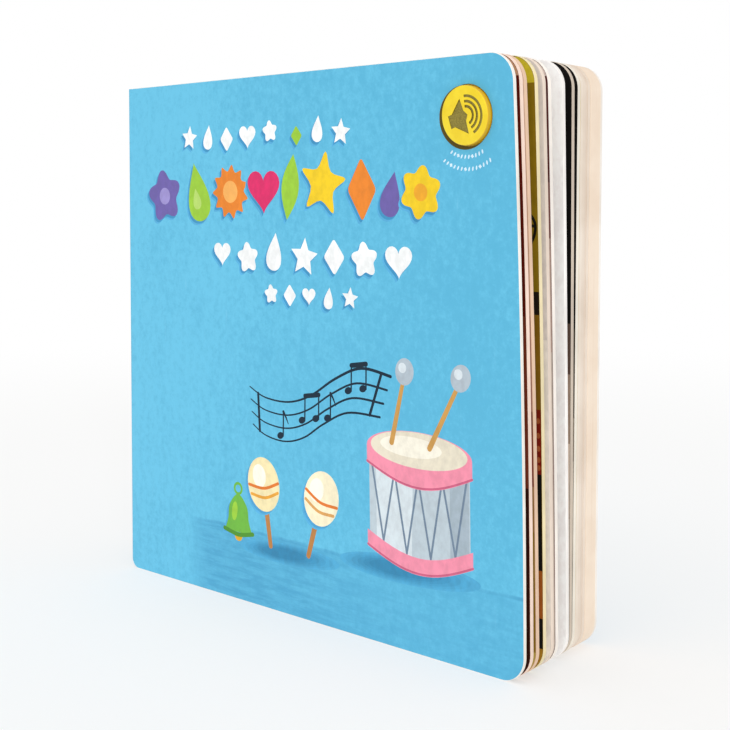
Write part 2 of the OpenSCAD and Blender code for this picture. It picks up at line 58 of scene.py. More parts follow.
COVER_BOW = 0.4  # degrees by which the cover's middle stays behind
# Share of the cover's opening that each leaf takes at its foot and at its head
LEAF_FOOT = (0.87, 0.76, 0.61, 0.42, 0.35, 0.02, 0.01, 0)
LEAF_HEAD = (0.94, 0.92, 0.74, 0.63, 0.57, 0.29, 0.1, 0.003)
FIT_GAP = 0.3
BUTTON = (BOOK_W - 17.5, BOOK_H - 18)
BUTTON_R = 9
BUTTON_RISE = 1.8
BUTTON_CROWN = 0.4
CROWN_R = 8.6  # radius over which the button's top is crowned
SIGN_FIELD = (7.7, 7.5)  # radii between which the sign's field ends
FLANGE_R = BUTTON_R + 1 + FIT_GAP
FLANGE_V = (0.45, 1.33)  # depths of the flange's hollow in the cover board
UNIT = (104, 50)  # middle of the sound unit
UNIT_SIZE = (65.6, 47.8)
EDGE_R = 0.16  # bevel of every board's edge
LEAF_START = 0.4  # distance of each leaf from its own hinge line
LEAF_GAP = 0.03  # half of the gap between two leaves
PRINT_MARGIN = 0.3  # distance of a page's coloured fields from its edge


def opening(z, foot, head):
    """Angle in degrees of a bowed board at height z."""
    t = z / BOOK_H
    return foot + (head - foot) * t - 4 * t * (1 - t) * COVER_BOW * head / COVER_OPENING[1]


def spine_cut(z):
    """How far the worn corner at the spine's foot cuts into the covers at height z."""
    r = SPINE_CORNER_R
    return r - math.sqrt(r * r - (r - z) ** 2) if z < r else 0.0


# ---------------------------------------------------------------- materials


def rgb(code):
    """Linear colour of an sRGB code such as 67BFE4."""
    values = [int(code[i : i + 2], 16) / 255 for i in (0, 2, 4)]
    return (*[v / 12.92 if v < 0.04045 else ((v + 0.055) / 1.055) ** 2.4 for v in values], 1)


class Shader:
    """One material and the nodes it is built from."""

    def __init__(self, name, roughness=0.5, metallic=0.0, specular=0.4):
        self.material = bpy.data.materials.new(name)
        self.material.use_nodes = True
        self.tree = self.material.node_tree
        self.surface = self.tree.nodes["Principled BSDF"]
        self.surface.inputs["Roughness"].default_value = roughness
        self.surface.inputs["Metallic"].default_value = metallic
        self.surface.inputs["Specular IOR Level"].default_value = specular
        self.place = self.tree.nodes.new("ShaderNodeTexCoord").outputs["Object"]

    def link(self, value, socket):
        """Connect a socket, or set a colour code or a number."""
        if isinstance(value, bpy.types.NodeSocket):
            self.tree.links.new(value, socket)
        elif isinstance(value, str):
            socket.default_value = rgb(value)
        else:
            socket.default_value = value

    def math(self, operation, a, b=0.0):
        node = self.tree.nodes.new("ShaderNodeMath")
        node.operation = operation
        for value, socket in zip((a, b), node.inputs):
            self.link(value, socket)
        return node.outputs[0]

    def range(self, value, low, high, to_low=0.0, to_high=1.0):
        """A smooth step from to_low at low to to_high at high."""
        node = self.tree.nodes.new("ShaderNodeMapRange")
        node.interpolation_type = "SMOOTHSTEP"
        for i, v in enumerate((value, low, high, to_low, to_high)):
            self.link(v, node.inputs[i])
        return node.outputs[0]

    def axes(self, vector):
        node = self.tree.nodes.new("ShaderNodeSeparateXYZ")
        self.link(vector, node.inputs[0])
        return node.outputs

    def noise(self, scale, stretch=(1, 1, 1), turn=(0, 0, 0), detail=5, rough=0.6, warp=0.0):
        mapping = self.tree.nodes.new("ShaderNodeMapping")
        self.link(self.place, mapping.inputs["Vector"])
        mapping.inputs["Scale"].default_value = stretch
        mapping.inputs["Rotation"].default_value = [math.radians(a) for a in turn]
        node = self.tree.nodes.new("ShaderNodeTexNoise")
        self.link(mapping.outputs[0], node.inputs["Vector"])
        node.inputs["Scale"].default_value = scale
        node.inputs["Detail"].default_value = detail
        node.inputs["Roughness"].default_value = rough
        node.inputs["Distortion"].default_value = warp
        return node.outputs["Fac"]

    def mix(self, factor, a, b):
        node = self.tree.nodes.new("ShaderNodeMix")
        node.data_type = "RGBA"
        for value, index in ((factor, 0), (a, 6), (b, 7)):
            self.link(value, node.inputs[index])
        return node.outputs[2]

    def dot(self, vector, direction):
        node = self.tree.nodes.new("ShaderNodeVectorMath")
        node.operation = "DOT_PRODUCT"
        self.link(vector, node.inputs[0])
        node.inputs[1].default_value = direction
        return node.outputs["Value"]

    def colour(self, value):
        self.link(value, self.surface.inputs["Base Color"])

    def roughness(self, pattern, low, high):
        """Roughness that follows a noise between two values."""
        self.link(self.range(pattern, 0.3, 0.7, low, high), self.surface.inputs["Roughness"])

    def bump(self, height, distance):
        node = self.tree.nodes.new("ShaderNodeBump")
        node.inputs["Strength"].default_value = 0.5
        node.inputs["Distance"].default_value = distance
        self.link(height, node.inputs["Height"])
        self.link(node.outputs["Normal"], self.surface.inputs["Normal"])


def patterned(name, low, high, scale, stretch=(1, 1, 1), rough=(0.45, 0.6), bump=0.00002,
              metallic=0.0, specular=0.4):
    """Material whose colour, roughness and relief vary with two noises."""
    s = Shader(name, metallic=metallic, specular=specular)
    fine = s.noise(scale, stretch)
    broad = s.noise(scale / 9, stretch, detail=3)
    tone = s.math("ADD", s.math("MULTIPLY", fine, 0.6), s.math("MULTIPLY", broad, 0.4))
    s.colour(s.mix(s.range(tone, 0.38, 0.62), low, high))
    s.roughness(fine, *rough)
    s.bump(fine, bump)
    return s.material


WHITE = "F3F5F5"
NAVY = "0C2638"
BLUE_LIGHT = "66C2E4"
BLUE_DARK = "55B2D6"
STREAK_BLUE = "9AD6F0"
FLOOR_BLUE = "469FC8"
FLOOR_LINE = "3C93BE"
SHADOW_BLUE = "3E93C2"
SOFT_SHADOW_BLUE = "57AEDB"
inks = {}  # materials made so far, by colour code


def shade(code, factor):
    """The same sRGB code, lighter or darker."""
    values = [min(255, max(0, round(int(code[i : i + 2], 16) * factor))) for i in (0, 2, 4)]
    return "".join(f"{v:02X}" for v in values)


def ink(code, contrast=0.035):
    """Printed colour on coated paper, with a light grain."""
    if code not in inks:
        inks[code] = patterned("ink_" + code, shade(code, 1 - contrast), shade(code, 1 + contrast),
                               420, stretch=(1, 1, 0.7), rough=(0.42, 0.57), bump=0.000012,
                               specular=0.25)
    return inks[code]


def brushed_blue(name, floor):
    """Blue print with a mottled, lightly brushed ground and, if asked, a darker floor."""
    s = Shader(name, roughness=0.45, specular=0.35)
    x, _, z = s.axes(s.place)
    mottle = s.noise(420, detail=5, rough=0.6)
    speckle = s.noise(1300, detail=3)
    brush = s.noise(75, (3.2, 1, 1), (0, 38, 0), detail=5, rough=0.65, warp=0.8)
    cloud = s.noise(16, detail=3)
    tone = s.math("ADD", s.math("MULTIPLY", mottle, 0.4), s.math("MULTIPLY", brush, 0.2))
    tone = s.math("ADD", tone, s.math("MULTIPLY", speckle, 0.2))
    tone = s.math("ADD", tone, s.math("MULTIPLY", cloud, 0.2))
    # Painted light: the blue is lighter towards the spine and darker towards the fore edge
    half_w = BOOK_W / 2 * MM
    tone = s.math("ADD", tone, s.range(x, -half_w, half_w, 0.05, -0.05))
    base = s.mix(s.range(tone, 0.38, 0.62), BLUE_DARK, BLUE_LIGHT)
    streak = s.noise(42, (9, 1, 0.8), (0, 40, 0), detail=6, rough=0.75)
    base = s.mix(s.range(streak, 0.62, 0.8, 0.0, 0.35), base, STREAK_BLUE)
    if floor:
        floor_z, wave_z = 0.0235, 0.006
        wave = s.math("MULTIPLY", s.noise(14, (1, 0, 0), detail=3), wave_z)
        edge = s.math("SUBTRACT", z, s.math("ADD", wave, floor_z))
        begin = s.range(x, -0.062, -0.048)
        dry = s.noise(70, (1, 1, 7), (0, 3, 0), detail=6, rough=0.75)
        inside = s.math("MULTIPLY", s.range(edge, 0.0006, -0.0006), begin)
        near_spine = s.range(x, -0.02, 0.06, 1.0, 0.45)
        band = s.math("MULTIPLY", s.math("MULTIPLY", inside, near_spine),
                      s.range(dry, 0.36, 0.64, 0.35, 0.95))
        base = s.mix(band, base, FLOOR_BLUE)
        line = s.math("MULTIPLY", s.range(s.math("ABSOLUTE", edge), 0.0009, 0.0002),
                      s.range(s.noise(60, (1, 0, 0)), 0.38, 0.6, 0.05, 0.6))
        base = s.mix(s.math("MULTIPLY", line, begin), base, FLOOR_LINE)
    s.colour(base)
    s.roughness(mottle, 0.38, 0.52)
    s.bump(s.math("ADD", s.math("MULTIPLY", speckle, 0.5), mottle), 0.00003)
    return s.material


def board_edge(name, light, dark, line="D9C6B0"):
    """Cut edge of a board: fibres and faint layers along Z."""
    s = Shader(name, roughness=0.75, specular=0.2)
    layers = s.noise(900, (1, 1, 0.02), detail=3)
    fibre = s.noise(2600, (1, 1, 0.3), detail=3)
    cloud = s.noise(45, detail=3)
    base = s.mix(s.range(cloud, 0.35, 0.65), dark, light)
    base = s.mix(s.range(layers, 0.56, 0.75, 0.0, 0.45), base, line)
    s.colour(s.mix(s.range(fibre, 0.6, 0.8, 0.0, 0.25), base, shade(line, 0.9)))
    s.bump(s.math("ADD", fibre, layers), 0.00005)
    return s.material


# ------------------------------------------------------------------- shapes


def turned(points, u, z, tilt):
    """Points turned by tilt degrees about (0, 0) and moved to (u, z)."""
    turn = math.radians(tilt)
    return [(u + p * math.cos(turn) - q * math.sin(turn),
             z + p * math.sin(turn) + q * math.cos(turn)) for p, q in points]


def circle(u, z, r, count=40, tall=1.0, tilt=0.0):
    """Circle, or ellipse with its height given as a share of its width."""
    angles = [2 * math.pi * i / count for i in range(count)]
    return turned([(r * math.cos(a), r * tall * math.sin(a)) for a in angles], u, z, tilt)


def moved(points, du, dz):
    """Points moved across and up."""
    return [(u + du, z + dz) for u, z in points]


def smooth(points, closed=False, steps=8):
    """Points on a smooth curve through the given ones."""
    count = len(points)
    result = []
    for i in range(count if closed else count - 1):
        if closed:
            a, b, c, d = (points[(i + k) % count] for k in (-1, 0, 1, 2))
        else:
            a, b, c, d = (points[min(max(i + k, 0), count - 1)] for k in (-1, 0, 1, 2))
        for j in range(steps):
            t = j / steps
            result.append(tuple(
                0.5 * (2 * b[k] + (c[k] - a[k]) * t
                       + (2 * a[k] - 5 * b[k] + 4 * c[k] - d[k]) * t * t
                       + (3 * b[k] - a[k] - 3 * c[k] + d[k]) * t * t * t) for k in (0, 1)))
    if not closed:
        result.append(tuple(points[-1]))
    return result


def stroke(points, width, end_width=None):
    """Outline of a line of the given width along points, with round ends."""
    left, right = [], []
    count = len(points)
    end_width = width if end_width is None else end_width
    for i, (u, z) in enumerate(points):
        before, after = points[max(i - 1, 0)], points[min(i + 1, count - 1)]
        du, dz = after[0] - before[0], after[1] - before[1]
        size = math.hypot(du, dz) or 1.0
        half = (width + (end_width - width) * i / (count - 1)) / 2
        nu, nz = -dz / size * half, du / size * half
        left.append((u + nu, z + nz))
        right.append((u - nu, z - nz))
    caps = []
    for middle, start in ((points[-1], left[-1]), (points[0], right[0])):
        a0 = math.atan2(start[1] - middle[1], start[0] - middle[0])
        r = math.dist(start, middle)
        caps.append([(middle[0] + r * math.cos(a0 - math.pi * k / 7),
                      middle[1] + r * math.sin(a0 - math.pi * k / 7))
                     for k in range(1, 7)])
    return left + caps[0] + right[::-1] + caps[1]


def star(u, z, r, points, inner, tilt=90.0, soft=False):
    """Star with its inner radius given as a share of r, with soft points if asked."""
    result = []
    for i in range(2 * points):
        a = math.radians(tilt) + math.pi * i / points
        k = r if i % 2 == 0 else r * inner
        result.append((u + k * math.cos(a), z + k * math.sin(a)))
    return smooth(result, True, 4) if soft else result


def heart(u, z, size):
    """Heart with half its width given."""
    result = []
    for i in range(36):
        t = 2 * math.pi * i / 36
        result.append((u + size * math.sin(t) ** 3,
                       z + size * (13 * math.cos(t) - 5 * math.cos(2 * t) - 2 * math.cos(3 * t)
                                   - math.cos(4 * t)) / 16))
    return result


def petals(u, z, r, count, depth, tilt=90.0):
    """Flower or clover with the given number of round petals."""
    result = []
    for i in range(12 * count):
        a = 2 * math.pi * i / (12 * count)
        k = r * (1 - depth + depth * math.cos(count * a))
        result.append((u + k * math.cos(a + math.radians(tilt)),
                       z + k * math.sin(a + math.radians(tilt))))
    return result


def drop(u, z, r, tilt):
    """Drop with its point up, turned by tilt."""
    angles = [2 * math.pi * i / 32 for i in range(32)]
    return turned([(r * math.sin(a) * math.sin(a / 2) ** 1.4, r * 1.25 * math.cos(a))
                   for a in angles], u, z, tilt)


def blade(u, z, half, length, tilt):
    """Leaf with a point at each end."""
    side = [(half * math.sin(math.pi * i / 10), length * (i / 10 - 0.5)) for i in range(11)]
    return turned(side + [(-p, q) for p, q in side[-2:0:-1]], u, z, tilt)


def diamond(u, z, r, tall=1.25):
    """Diamond with soft corners, tall times as high as wide."""
    return rounded([(u - r, z), (u, z - r * tall), (u + r, z), (u, z + r * tall)], r * 0.25)


def rounded(points, r):
    """Polygon with its corners rounded."""
    result = []
    count = len(points)
    for i in range(count):
        a, b, c = (Vector(points[(i + k) % count]) for k in (-1, 0, 1))
        to_a, to_c = (a - b).normalized(), (c - b).normalized()
        for k in range(5):
            t = k / 4
            p, q = b + to_a * r, b + to_c * r
            result.append(tuple((1 - t) ** 2 * p + 2 * t * (1 - t) * b + t * t * q))
    return result


class Picture:
    """Printed shapes in paint order. Each is a colour, an outline and its holes."""

    def __init__(self, ground):
        self.ground = ground
        self.shapes = []

    def add(self, material, outline, *holes):
        self.shapes.append((material, outline, holes))

    def cast(self, material, outline, shadow=SHADOW_BLUE):
        """A shape with a soft printed shadow below and to its left."""
        for code, du, dz in ((SOFT_SHADOW_BLUE, -1.35, -1.45), (shadow, -0.75, -0.85)):
            self.add(ink(code), moved(outline, du, dz))
        self.add(material, outline)

    def line(self, code, points, width, end_width=None):
        self.add(ink(code), stroke(points, width, end_width))


# ------------------------------------------------------------------- boards


def flat(u, v, z):
    """Point of the closed book: u from the spine, v into the book, z up."""
    return Vector(((u - ORIGIN[0]) * MM, (v - ORIGIN[1]) * MM, z * MM))


def fanned(hinge, foot, head):
    """Place function of a board that opens more at its head than at its foot."""

    def place(u, v, z):
        a = math.radians(opening(z, foot, head))
        return flat(hinge[0] + u * math.cos(a) + v * math.sin(a),
                    hinge[1] + v * math.cos(a) - u * math.sin(a), z)

    return place


def board_outline(u0, w, spine_corner=0):
    """Outline of a board, anticlockwise from its spine corner at the foot."""
    steps = 12
    longest = 9  # longer sides are divided, so that they can bend
    points = []
    for cu, cz, r, start in ((u0, 0, spine_corner, 180), (w, 0, CORNER_R, 270),
                             (w, BOOK_H, CORNER_R, 0), (u0, BOOK_H, 0, 90)):
        if r == 0:
            points.append((cu, cz))
            continue
        mu = cu + r if cu == u0 else cu - r
        mz = cz + r if cz == 0 else cz - r
        for i in range(steps + 1):
            a = math.radians(start + 90 * i / steps)
            points.append((mu + r * math.cos(a), mz + r * math.sin(a)))
    divided = []
    for a, b in zip(points, points[1:] + points[:1]):
        parts = max(1, math.ceil(math.dist(a, b) / longest))
        divided += [(a[0] + (b[0] - a[0]) * k / parts, a[1] + (b[1] - a[1]) * k / parts)
                    for k in range(parts)]
    return divided


def inset(outline, amount):
    """The outline moved inwards."""
    result = []
    count = len(outline)
    for i in range(count):
        a, b = outline[i - 1], outline[(i + 1) % count]
        du, dz = b[0] - a[0], b[1] - a[1]
        size = math.hypot(du, dz)
        result.append((outline[i][0] - dz / size * amount, outline[i][1] + du / size * amount))
    return result


def anticlockwise(loop):
    """The loop in the direction that the triangulation needs."""
    turn = sum(a[0] * b[1] - b[0] * a[1] for a, b in zip(loop, loop[1:] + loop[:1]))
    return loop if turn > 0 else loop[::-1]


MERGE_DISTANCE = 1e-4


def face_mesh(outline, picture, cuts, pitch):
    """Triangles of a printed face: (points, triangles, materials, outline index, cut indices)."""
    points = list(outline)
    loops = [list(range(len(points)))]
    for cut in cuts:
        loops.append(list(range(len(points), len(points) + len(cut))))
        points += cut
    owners = []
    for material, shape, holes in picture.shapes:
        mine = []
        for loop in (shape, *holes):
            mine.append(len(loops))
            loops.append(list(range(len(points), len(points) + len(loop))))
            points += anticlockwise(list(loop))
        owners.append((material, mine[0], mine[1:]))
    low_u, high_u = min(p[0] for p in outline), max(p[0] for p in outline)
    low_z, high_z = min(p[1] for p in outline), max(p[1] for p in outline)
    across, up = int((high_u - low_u) / pitch), int((high_z - low_z) / pitch)
    # A grid of inner points lets the face bend. It is a little uneven to give clear triangles.
    for i in range(1, across):
        for j in range(1, up):
            points.append((low_u + (high_u - low_u) * i / across + 0.013 * (j % 3),
                           low_z + (high_z - low_z) * j / up + 0.011 * (i % 3)))
    made, _, triangles, source, _, inside = delaunay_2d_cdt(
        [Vector(p) for p in points], [], loops, 1, MERGE_DISTANCE)
    place_of = {}
    for i, originals in enumerate(source):
        for original in originals:
            place_of[original] = i
    kept, materials = [], []
    for triangle, around in zip(triangles, inside):
        around = set(around)
        if 0 not in around or any(k + 1 in around for k in range(len(cuts))):
            continue
        material = picture.ground
        for candidate, outer, holes in reversed(owners):
            if outer in around and not any(h in around for h in holes):
                material = candidate
                break
        kept.append(triangle)
        materials.append(material)
    edge = [place_of[i] for i in loops[0]]
    cut_edges = [[place_of[i] for i in loop] for loop in loops[1 : 1 + len(cuts)]]
    return [tuple(p) for p in made], kept, materials, edge, cut_edges


def build_mesh(name, points, faces, materials):
    """Object made of the given faces, each with its own material."""
    mesh = bpy.data.meshes.new(name)
    mesh.from_pydata(points, [], faces)
    slots = []
    for material in materials:
        if material not in slots:
            slots.append(material)
    for material in slots:
        mesh.materials.append(material)
    order = {material: i for i, material in enumerate(slots)}
    mesh.polygons.foreach_set("material_index", [order[m] for m in materials])
    mesh.polygons.foreach_set("use_smooth", [True] * len(faces))
    mesh.validate()
    mesh.set_sharp_from_angle(angle=math.radians(25))
    thing = bpy.data.objects.new(name, mesh)
    bpy.context.scene.collection.objects.link(thing)
    return thing


def board(name, place, outline, v0, v1, front, back, rim, cuts=(), chain=None, pitch=9.0):
    """Closed board with printed faces. cuts go right through; a chain of (outline, depth,
    material) makes the first cut a stepped hollow from the front instead."""
    points, faces, materials = [], [], []
    inner = inset(outline, EDGE_R)
    sides = []
    for picture, v, flip, holes in ((front, v0, False, cuts), (back, v1, True, cuts)):
        if chain and flip:
            holes = []
        made, triangles, colours, edge, cut_edges = face_mesh(inner, picture, holes, pitch)
        start = len(points)
        used = sorted({i for t in triangles for i in t})
        index = {old: start + new for new, old in enumerate(used)}
        points += [place(made[i][0], v, made[i][1]) for i in used]
        for triangle, colour in zip(triangles, colours):
            a, b, c = (made[i] for i in triangle)
            turn = (b[0] - a[0]) * (c[1] - a[1]) - (b[1] - a[1]) * (c[0] - a[0])
            loop = [index[i] for i in triangle]
            faces.append(loop if (turn > 0) != flip else loop[::-1])
            materials.append(colour)
        sides.append(([index[i] for i in edge], [[index[i] for i in e] for e in cut_edges]))

    def ring(loop, v):
        start = len(points)
        points.extend(place(u, v, z) for u, z in loop)
        return list(range(start, start + len(loop)))

    def join(a, b, material):
        for i in range(len(a)):
            j = (i + 1) % len(a)
            faces.append([a[j], a[i], b[i], b[j]])
            materials.append(material)

    rings = [sides[0][0], ring(outline, v0 + EDGE_R), ring(outline, v1 - EDGE_R), sides[1][0]]
    for a, b in zip(rings, rings[1:]):
        join(a, b, rim)
    if chain:
        previous = sides[0][1][0]
        for loop, v, material in chain:
            following = ring(loop, v)
            join(following, previous, material)
            previous = following
        faces.append(previous)
        materials.append(chain[-1][2])
    else:
        for a, b in zip(sides[0][1], sides[1][1]):
            join(b, a, rim)
    return build_mesh(name, points, faces, materials)


# --------------------------------------------------------------- the prints


SMALL_SHAPES = {
    "star": lambda u, z, r: star(u, z, r, 5, 0.48, 84),
    "heart": heart,
    "drop": lambda u, z, r: drop(u, z, r, -8),
    "diamond": diamond,
    "flower": lambda u, z, r: petals(u, z, r, 5, 0.16, 96),
}
SMALL_ROWS = (
    (38, 169.5, 4.6, "star"), (49, 169.5, 3.6, "drop"), (59.5, 168.5, 3.6, "diamond"),
    (71, 169.5, 4.4, "heart"), (83, 170.5, 3.8, "flower"), (107, 170.5, 3.6, "drop"),
    (118, 169, 4.6, "star"),
    (56, 127.5, 4.6, "heart"), (70, 126, 5.6, "flower"), (84, 128.5, 5.4, "drop"),
    (99, 127, 6.8, "star"), (113.5, 127.5, 5.0, "diamond"), (127.5, 127, 6.0, "flower"),
    (142.5, 127.5, 5.8, "heart"),
    (82, 113.5, 3.4, "flower"), (91.5, 113.5, 3.2, "diamond"), (101, 114, 3.2, "heart"),
    (110.5, 113.5, 3.0, "drop"), (120.5, 114, 3.8, "star"),
)


def shape_rows(p):
    """One row of large coloured shapes between rows of small white ones."""
    p.cast(ink("6D60A6"), petals(22.5, 148, 10, 5, 0.15, 100))
    p.add(ink("9A8FCB"), circle(22.5, 148, 3.2, 24))
    p.cast(ink("9BCB3C"), drop(42.5, 149.5, 8.8, 12))
    p.add(ink("B9DC6E"), drop(41.8, 147, 3.2, 12))
    p.cast(ink("E7842B"), star(61, 149.5, 9.8, 11, 0.76, 84, True))
    p.add(ink("F8B25E"), circle(61, 149.5, 4, 28))
    p.cast(ink("DD2C69"), heart(79, 150.5, 8.4))
    p.cast(ink("9BCB3C"), blade(92.8, 151, 4.4, 23, -10))
    p.cast(ink("9BCB3C"), diamond(96.5, 168.5, 2.8))
    p.cast(ink("F0CB20"), star(108.8, 152, 11, 5, 0.52, 80, True))
    p.cast(ink("E7842B"), diamond(127, 150, 6.6, 1.6))
    p.cast(ink("6D60A6"), drop(140, 148.5, 6, -14))
    p.cast(ink("F0CB20"), petals(152.5, 149, 8.6, 6, 0.13, 80))
    p.add(ink("EFA92A"), circle(152.5, 149, 2.8, 24))
    for u, z, r, kind in SMALL_ROWS:
        p.cast(ink(WHITE), SMALL_SHAPES[kind](u, z, r))


def marks_below_button(p):
    """Two bowed rows of small pale marks under the button."""
    for r, count, span in ((12.4, 10, 64), (16.1, 14, 72)):
        for i in range(count):
            a = math.radians(-90.5 + span * ((i + 0.5) / count - 0.5))
            middle = (BUTTON[0] - 0.8 + r * math.cos(a), BUTTON[1] + r * math.sin(a))
            lean = math.degrees(a) + 72
            if i % 4 == 2:
                p.add(ink("CFE7F4"), petals(*middle, 0.62, 4, 0.15, lean))
            else:
                p.add(ink("CFE7F4"), circle(*middle, 0.3, 12, 2.3, lean))


def note(p, u, z, size, code, double=False):
    """A quaver, or two joined ones."""

    def head(du, dz):
        p.add(ink(code), circle(u + du, z + dz, size * 0.62, 18, 0.72, 20))

    head(0, 0)
    stem = size * 3.2
    p.line(code, [(u + size * 0.52, z), (u + size * 0.62, z + stem)], size * 0.24)
    if double:
        head(size * 2.5, size * 0.5)
        p.line(code, [(u + size * 3.02, z + size * 0.5), (u + size * 3.1, z + stem + size * 0.4)],
               size * 0.24)
        p.line(code, [(u + size * 0.62, z + stem), (u + size * 3.1, z + stem + size * 0.4)],
               size * 0.62)
    else:
        p.line(code, smooth([(u + size * 0.62, z + stem), (u + size * 1.1, z + stem - size * 0.7),
                             (u + size * 1.5, z + stem - size * 1.5)]), size * 0.4, size * 0.12)


def staff(p):
    """Four waving staff lines with bar lines and notes."""
    top = smooth([(70, 79.5), (78, 76.4), (90, 76), (101, 79.4), (113, 86.4), (125, 91),
                  (138, 89.5)])
    low = smooth([(71.5, 66), (78, 62.8), (88, 61.8), (97.5, 64.4), (107, 70.2), (118.5, 75.4),
                  (133, 75.6)])

    def line(k):
        return [(a[0] + (b[0] - a[0]) * k / 3, a[1] + (b[1] - a[1]) * k / 3)
                for a, b in zip(top, low)]

    for k in range(4):
        p.line(NAVY, line(k), 0.45, 1.1 if k == 0 else 0.8)
    for i in (5, len(top) - 4):
        p.line(NAVY, [top[i], low[i]], 1.1)
    for i, k, double in ((14, 2.6, False), (22, 1.6, True), (33, 2.7, False), (38, 1.4, True)):
        note(p, *line(k)[i], 2.7, NAVY, double)


def ground_shadow(p, u, z, r):
    """Flat shadow that darkens towards its middle."""
    for i, code in enumerate(("50A8D1", "4BA2CB", "469BC4", "4094BD", "3A8DB6", "3486AF")):
        k = 1 - 0.11 * i
        p.add(ink(code), circle(u - 0.02 * r * i, z, r * k, 40, 0.15 + 0.004 * i, 2))


def sag(u, half, z, depth):
    """Lower half of a hoop seen from above, from its left end to its right end."""
    return [(u - half + 2 * half * i / 16, z - depth * math.sin(math.pi * i / 16))
            for i in range(17)]


def drum(p, u, z):
    """Pale drum with pink hoops, seen a little from above, and two sticks."""
    ground_shadow(p, u - 5, z - 0.5, 30)
    p.add(ink("B9C6CE"), [(u - 21, z + 38)] + sag(u, 21, z + 5, 6) + [(u + 21, z + 38)])
    p.add(ink("D2DCE1"), [(u - 18, z + 38), (u - 18, z + 3.2), (u - 3, z - 0.6), (u - 2, z + 38)])
    p.add(ink("A3B2BD"), [(u + 13, z + 38), (u + 13, z + 3), (u + 20.6, z + 6),
                          (u + 20.6, z + 38)])
    cords = []
    for i in range(9):
        cords.append((u - 20 + 5 * i, z + (34 - 3.4 * math.sin(math.pi * i / 8) if i % 2 == 0
                                           else 9.5 - 4.6 * math.sin(math.pi * i / 8))))
    for a, b in zip(cords, cords[1:]):
        p.line("6F8296", [a, b], 0.8)
    for low, high in ((5, 10.6), (33, 38.8)):
        bottom = sag(u, 22, z + low, 6)
        p.add(ink("EE8FA6"), bottom + sag(u, 22, z + high, 6)[::-1])
        p.line("C9607F", [(a, b + 0.5) for a, b in bottom], 0.7)
    p.add(ink("EE8FA6"), circle(u, z + 39, 22, 44, 0.3))
    p.add(ink("E2D9C4"), circle(u, z + 39.6, 20.2, 44, 0.29))
    p.add(ink("F1EBDA"), circle(u - 3, z + 40.4, 13, 36, 0.26))
    for du, reach in ((-11, 6), (5, 13)):
        foot = (u + du, z + 41)
        head = (u + du + reach, z + 64)
        p.line("C9974F", [foot, head], 2.0, 1.5)
        p.add(ink("AEBAC4"), circle(head[0], head[1] + 0.6, 3.9, 24, 1.15, -2 * reach))
        p.add(ink("D3DCE2"), circle(head[0] - 0.9, head[1] + 1.8, 1.7, 16))


def maraca(p, u, z, tilt, body, band):
    """Maraca with two bands, its handle starting at (u, z)."""
    turn = math.radians(tilt)
    along = Vector((math.sin(turn), math.cos(turn)))
    base = Vector((u, z))
    p.line("B97E43", [tuple(base), tuple(base + along * 14)], 2.0, 2.4)
    head = base + along * 22
    p.cast(ink(body), circle(head.x, head.y, 8.2, 36, 1.2, -tilt), shadow="4A9FCE")
    p.add(ink("FFF9E6"), circle(head.x - 2.2, head.y + 2.8, 3.4, 24, 1.25, -tilt))
    across = Vector((along.y, -along.x))
    for k, code in ((-3.2, band), (0.2, "E0792D")):
        middle = head + along * k
        half = 7.7 - abs(k) * 0.25
        p.line(code, smooth([tuple(middle - across * half), tuple(middle - along * 1.6),
                             tuple(middle + across * half)], steps=6), 1.1)


def bell(p, u, z):
    """Green hand bell with its rim at height z."""
    dome = smooth([(u - 7.4, z), (u - 5.6, z + 4.5), (u - 4.6, z + 10), (u, z + 14.2),
                   (u + 4.6, z + 10), (u + 5.6, z + 4.5), (u + 7.4, z)])
    p.add(ink("D9A31C"), circle(u, z - 1.2, 2.1, 20))
    p.cast(ink("6DB33F"), dome, shadow="4A9FCE")
    p.add(ink("9BCB3C"), circle(u - 2, z + 7.6, 1.5, 20, 2.4, -8))
    p.line("4E8F2C", smooth([(u - 7.6, z + 0.4), (u, z - 0.9), (u + 7.6, z + 0.4)]), 1.6)
    p.add(ink("6DB33F"), circle(u, z + 16.2, 2.4), circle(u, z + 16.2, 1.4))


def button_shadow():
    """Painted shadow: a dark disc that shows to the left of the button and stays clear of its hole.
    """
    middle = Vector(BUTTON)
    least = BUTTON_R + FIT_GAP + 0.08
    result = []
    for point in circle(BUTTON[0] - 1.3, BUTTON[1] - 0.55, 10.1, 64, 0.96):
        away = Vector(point) - middle
        result.append(tuple(middle + away.normalized() * max(away.length, least)))
    return result


def cover_print(ground):
    """Front of the cover: rows of shapes, a staff, instruments on a floor and the button's painted
    shadow.
    """
    p = Picture(ground)
    shape_rows(p)
    staff(p)
    ground_shadow(p, 89, 21.5, 25)
    bell(p, 63, 25)
    maraca(p, 80, 23, -9, "F3E3B0", "E8A33A")
    maraca(p, 99, 23, 17, "F7EBC9", "D9A05B")
    drum(p, 149, 27)
    marks_below_button(p)
    # Painted shadow: dark olive to the lower left of the raised button
    p.add(ink("5A4A02"), button_shadow())
    return p


def lining_print():
    """Yellow inside of the front cover with scattered small shapes."""
    p = Picture(ink("F3C53B"))
    for i in range(5):
        for j in range(5):
            u, z = 22 + 36 * i + (18 if j % 2 else 0), 20 + 37 * j
            if u < 176:
                kind = (i + 2 * j) % 3
                if kind == 0:
                    p.add(ink("FBE08A"), star(u, z, 7, 5, 0.5))
                elif kind == 1:
                    p.add(ink("E58F2A"), petals(u, z, 6, 6, 0.14))
                    p.add(ink("FBE08A"), circle(u, z, 2))
                else:
                    note(p, u - 2, z - 5, 4, "FBE08A")
    return p


